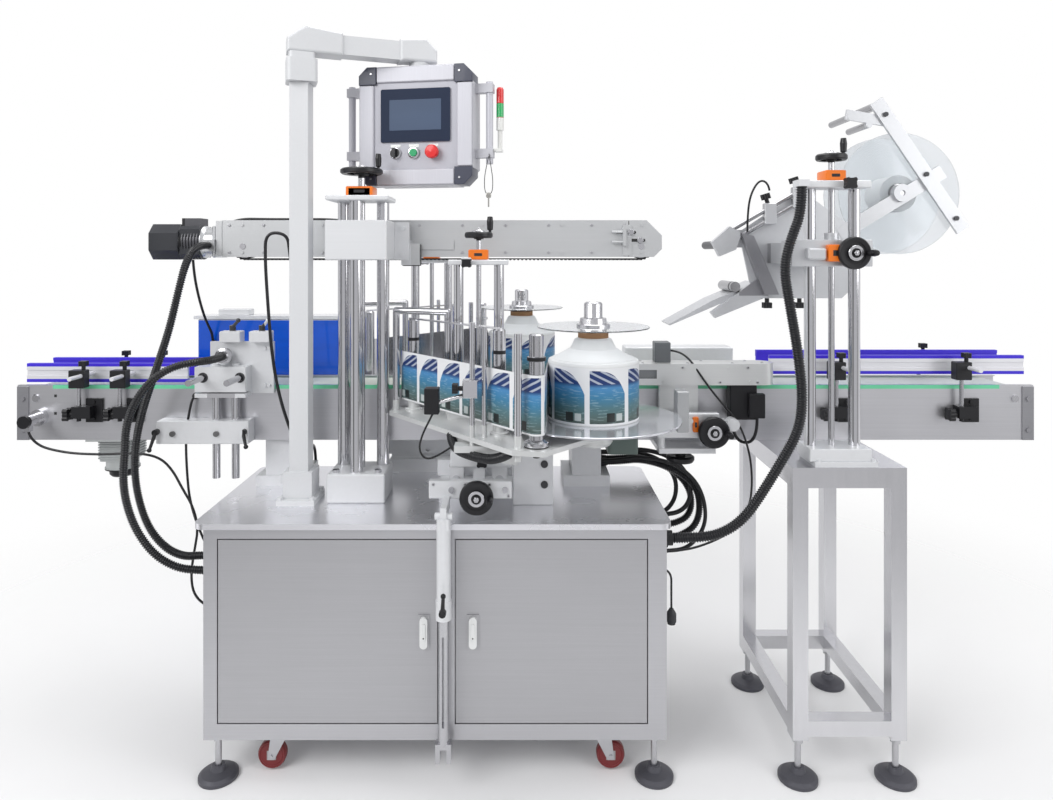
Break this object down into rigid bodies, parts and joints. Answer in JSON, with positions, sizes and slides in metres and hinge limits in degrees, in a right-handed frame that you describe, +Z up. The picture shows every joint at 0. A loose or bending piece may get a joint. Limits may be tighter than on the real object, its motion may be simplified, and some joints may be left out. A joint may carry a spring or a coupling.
{
  "type": "labeling machine",
  "caption": "Bottle labeling line with a belt conveyor, guide rails, hold-down belt, side and top label reels, control box on a boom and a steel cabinet",
  "frame": {"origin": "centre of the bounding box on the floor plane, below the middle of the conveyor belt", "axes": "+X along the belt in the direction products travel (left to right from the operator side), +Y away from the operator, +Z up"},
  "size_m": [3, 1.21, 1.996],
  "materials": {
    "stainless_sheet": "brushed",
    "table_steel": "brushed",
    "latch_white": "gloss",
    "foot_grey": "satin",
    "castor_red": "satin",
    "stand_steel": "brushed",
    "belt_light": "matt",
    "roller_aluminium": "satin",
    "motor_grey": "cast",
    "machined_aluminium": "satin",
    "black_plastic": "matt",
    "rail_blue": "satin",
    "sensor_silver": "satin",
    "film_blue": "gloss film",
    "light_grey_paint": "powder coat",
    "slate_case": "powder coat",
    "button_green": "gloss",
    "button_red": "gloss",
    "lamp_red": "gloss",
    "belt_black": "matt",
    "feed_rubber": "satin",
    "label_roll": "satin",
    "hose_black": "matt"
  },
  "bodies": {
    "machine_base": {"belt_encoder": "sensor_silver", "cabinet_shell": "stainless_sheet", "conveyor_belt": "belt_light", "conveyor_front_panel": "stainless_sheet", "conveyor_gear_motor": "motor_grey", "conveyor_rear_panel": "stainless_sheet", "conveyor_supports": "machined_aluminium", "cross_slide_base": "machined_aluminium", "levelling_feet": "foot_grey", "motor_hose": "hose_black", "pole": "light_grey_paint", "rail_brackets": "black_plastic", "rear_enclosure": "film_blue", "rear_head": "machined_aluminium", "side_hose": "hose_black", "side_post_unit": "machined_aluminium", "stand_frame": "stand_steel", "table_top": "table_steel", "top_conduit": "hose_black", "top_tower": "machined_aluminium", "tower_frame": "machined_aluminium", "wrap_base": "machined_aluminium"},
    "left_door_leaf": {"left_door": "stainless_sheet"},
    "right_door_leaf": {"right_door": "stainless_sheet"},
    "left_latch": {"left_door_latch": "latch_white"},
    "right_latch": {"right_door_latch": "latch_white"},
    "castor_front_left_fork": {"castor_front_left": "castor_red"},
    "castor_front_right_fork": {"castor_front_right": "castor_red"},
    "castor_rear_left_fork": {"castor_rear_left": "castor_red"},
    "castor_rear_right_fork": {"castor_rear_right": "castor_red"},
    "conveyor_drive": {"conveyor_drive_roller": "roller_aluminium"},
    "conveyor_idler": {"conveyor_idler_roller": "roller_aluminium"},
    "front_left_guide": {"front_left_rail": "rail_blue"},
    "front_right_guide": {"front_right_rail": "rail_blue"},
    "rear_left_guide": {"rear_left_rail": "rail_blue"},
    "rear_right_guide": {"rear_right_rail": "rail_blue"},
    "boom": {"boom_arm": "light_grey_paint"},
    "operator_box": {"control_box": "slate_case", "stack_light": "lamp_red"},
    "selector": {"selector_switch": "black_plastic"},
    "start_cap": {"start_button": "button_green"},
    "stop_cap": {"emergency_stop": "button_red"},
    "hold_down_unit": {"hold_down_housing": "light_grey_paint", "hold_down_belt": "belt_black", "hold_down_motor": "motor_grey"},
    "tower_screw": {"tower_handwheel": "black_plastic"},
    "hold_down_drive": {"hold_down_drive_pulley": "roller_aluminium"},
    "hold_down_idler": {"hold_down_idler_pulley": "roller_aluminium"},
    "front_saddle": {"front_mast": "machined_aluminium"},
    "cross_screw": {"cross_handwheel": "black_plastic"},
    "front_head": {"front_head_frame": "machined_aluminium"},
    "mast_screw": {"mast_handwheel": "black_plastic"},
    "front_roll": {"front_reel": "label_roll"},
    "front_feed": {"front_feed_roller": "feed_rubber"},
    "rear_roll": {"rear_reel": "label_roll"},
    "wrap_slide": {"wrap_unit": "machined_aluminium"},
    "wrap_screw": {"wrap_handwheel": "black_plastic"},
    "top_carriage": {"top_head": "machined_aluminium"},
    "top_screw": {"top_handwheel": "black_plastic"},
    "top_roll": {"top_reel": "label_roll"}
  },
  "joints": [
    {"name": "left_door_hinge", "type": "hinge", "parent": "machine_base", "child": "left_door_leaf", "pos_m": [-0.79, -0.383, 0.39], "axis": [0, 0, -1], "range_deg": [0, 110]},
    {"name": "right_door_hinge", "type": "hinge", "parent": "machine_base", "child": "right_door_leaf", "pos_m": [0.31, -0.383, 0.39], "axis": [0, 0, 1], "range_deg": [0, 110]},
    {"name": "left_latch_turn", "type": "hinge", "parent": "left_door_leaf", "child": "left_latch", "pos_m": [-0.262, -0.383, 0.3905], "axis": [0, 1, 0], "range_deg": [0, 90]},
    {"name": "right_latch_turn", "type": "hinge", "parent": "right_door_leaf", "child": "right_latch", "pos_m": [-0.136, -0.383, 0.3905], "axis": [0, -1, 0], "range_deg": [0, 90]},
    {"name": "castor_front_left_swivel", "type": "hinge", "parent": "machine_base", "child": "castor_front_left_fork", "pos_m": [-0.647, -0.323, 0.1], "axis": [0, 0, 1], "continuous": true},
    {"name": "castor_front_right_swivel", "type": "hinge", "parent": "machine_base", "child": "castor_front_right_fork", "pos_m": [0.201, -0.323, 0.1], "axis": [0, 0, 1], "continuous": true},
    {"name": "castor_rear_left_swivel", "type": "hinge", "parent": "machine_base", "child": "castor_rear_left_fork", "pos_m": [-0.647, 0.047, 0.1], "axis": [0, 0, 1], "continuous": true},
    {"name": "castor_rear_right_swivel", "type": "hinge", "parent": "machine_base", "child": "castor_rear_right_fork", "pos_m": [0.201, 0.047, 0.1], "axis": [0, 0, 1], "continuous": true},
    {"name": "conveyor_drive_spin", "type": "hinge", "parent": "machine_base", "child": "conveyor_drive", "pos_m": [-1.445, 0, 0.933], "axis": [0, 1, 0], "continuous": true},
    {"name": "conveyor_idler_spin", "type": "hinge", "parent": "machine_base", "child": "conveyor_idler", "pos_m": [1.445, 0, 0.933], "axis": [0, 1, 0], "continuous": true},
    {"name": "front_left_rail_adjust", "type": "slide", "parent": "machine_base", "child": "front_left_guide", "axis": [0, 1, 0], "range_m": [-0.03, 0.03]},
    {"name": "front_right_rail_adjust", "type": "slide", "parent": "machine_base", "child": "front_right_guide", "axis": [0, 1, 0], "range_m": [-0.03, 0.03]},
    {"name": "rear_left_rail_adjust", "type": "slide", "parent": "machine_base", "child": "rear_left_guide", "axis": [0, 1, 0], "range_m": [-0.03, 0.03]},
    {"name": "rear_right_rail_adjust", "type": "slide", "parent": "machine_base", "child": "rear_right_guide", "axis": [0, 1, 0], "range_m": [-0.03, 0.03]},
    {"name": "boom_swing", "type": "hinge", "parent": "machine_base", "child": "boom", "pos_m": [-0.631, -0.199, 1.84], "axis": [0, 0, 1], "range_deg": [0, 70]},
    {"name": "box_swivel", "type": "hinge", "parent": "boom", "child": "operator_box", "pos_m": [-0.315, -0.083, 1.909], "axis": [0, 0, 1], "range_deg": [-40, 0]},
    {"name": "selector_turn", "type": "hinge", "parent": "operator_box", "child": "selector", "pos_m": [-0.38167, -0.10983, 1.655], "axis": [0.1736, 0.9848, 0], "range_deg": [-45, 45]},
    {"name": "start_press", "type": "slide", "parent": "operator_box", "child": "start_cap", "axis": [0.1736, 0.9848, 0], "range_m": [0, 0.004], "stiffness_N_per_m": 400},
    {"name": "stop_press", "type": "slide", "parent": "operator_box", "child": "stop_cap", "axis": [0.1736, 0.9848, 0], "range_m": [0, 0.005]},
    {"name": "hold_down_height", "type": "slide", "parent": "machine_base", "child": "hold_down_unit", "axis": [0, 0, 1], "range_m": [-0.12, 0.04]},
    {"name": "tower_screw_turn", "type": "hinge", "parent": "machine_base", "child": "tower_screw", "pos_m": [-0.47, -0.159, 1.592], "axis": [0, 0, 1], "range_deg": [-8641, 2881]},
    {"name": "hold_down_drive_spin", "type": "hinge", "parent": "hold_down_unit", "child": "hold_down_drive", "pos_m": [-0.853, 0, 1.382], "axis": [0, 1, 0], "continuous": true},
    {"name": "hold_down_idler_spin", "type": "hinge", "parent": "hold_down_unit", "child": "hold_down_idler", "pos_m": [0.35, 0, 1.382], "axis": [0, 1, 0], "continuous": true},
    {"name": "front_cross_slide", "type": "slide", "parent": "machine_base", "child": "front_saddle", "axis": [0, 1, 0], "range_m": [-0.04, 0.004]},
    {"name": "cross_screw_turn", "type": "hinge", "parent": "machine_base", "child": "cross_screw", "pos_m": [-0.128, -0.369, 0.729], "axis": [0, 1, 0], "range_deg": [-2881, 289]},
    {"name": "front_head_height", "type": "slide", "parent": "front_saddle", "child": "front_head", "axis": [0, 0, 1], "range_m": [-0.025, 0.1]},
    {"name": "mast_screw_turn", "type": "hinge", "parent": "front_saddle", "child": "mast_screw", "pos_m": [-0.13, -0.233, 1.408], "axis": [0, 0, 1], "range_deg": [-1801, 7201]},
    {"name": "front_reel_spin", "type": "hinge", "parent": "front_head", "child": "front_roll", "pos_m": [0.175, -0.353, 0.93], "axis": [0, 0, 1], "continuous": true},
    {"name": "front_feed_spin", "type": "hinge", "parent": "front_head", "child": "front_feed", "pos_m": [0.023, -0.553, 0.93], "axis": [0, 0, 1], "continuous": true},
    {"name": "rear_reel_spin", "type": "hinge", "parent": "machine_base", "child": "rear_roll", "pos_m": [-0.011, 0.353, 0.93], "axis": [0, 0, 1], "continuous": true},
    {"name": "wrap_adjust", "type": "slide", "parent": "machine_base", "child": "wrap_slide", "axis": [0, 1, 0], "range_m": [-0.02, 0]},
    {"name": "wrap_screw_turn", "type": "hinge", "parent": "machine_base", "child": "wrap_screw", "pos_m": [0.527, -0.207, 0.859], "axis": [0, 1, 0], "range_deg": [-1441, 0]},
    {"name": "top_head_height", "type": "slide", "parent": "machine_base", "child": "top_carriage", "axis": [0, 0, 1], "range_m": [-0.09, 0.1]},
    {"name": "top_screw_turn", "type": "hinge", "parent": "machine_base", "child": "top_screw", "pos_m": [0.808, -0.323, 1.611], "axis": [0, 0, 1], "range_deg": [-6481, 7201]},
    {"name": "top_reel_spin", "type": "hinge", "parent": "top_carriage", "child": "top_roll", "pos_m": [1.111, -0.083, 1.539], "axis": [0, 1, 0], "continuous": true}
  ],
  "couplings": [
    {"joint": "conveyor_idler_spin", "follows": "conveyor_drive_spin", "ratio": 1},
    {"joint": "hold_down_idler_spin", "follows": "hold_down_drive_spin", "ratio": 1},
    {"joint": "tower_screw_turn", "follows": "hold_down_height", "rad_per_m": 1256.6},
    {"joint": "cross_screw_turn", "follows": "front_cross_slide", "rad_per_m": 1256.6},
    {"joint": "mast_screw_turn", "follows": "front_head_height", "rad_per_m": 1256.6},
    {"joint": "wrap_screw_turn", "follows": "wrap_adjust", "rad_per_m": 1256.6},
    {"joint": "top_screw_turn", "follows": "top_head_height", "rad_per_m": 1256.6},
    {"joint": "front_feed_spin", "follows": "front_reel_spin", "ratio": -6.7429}
  ]
}
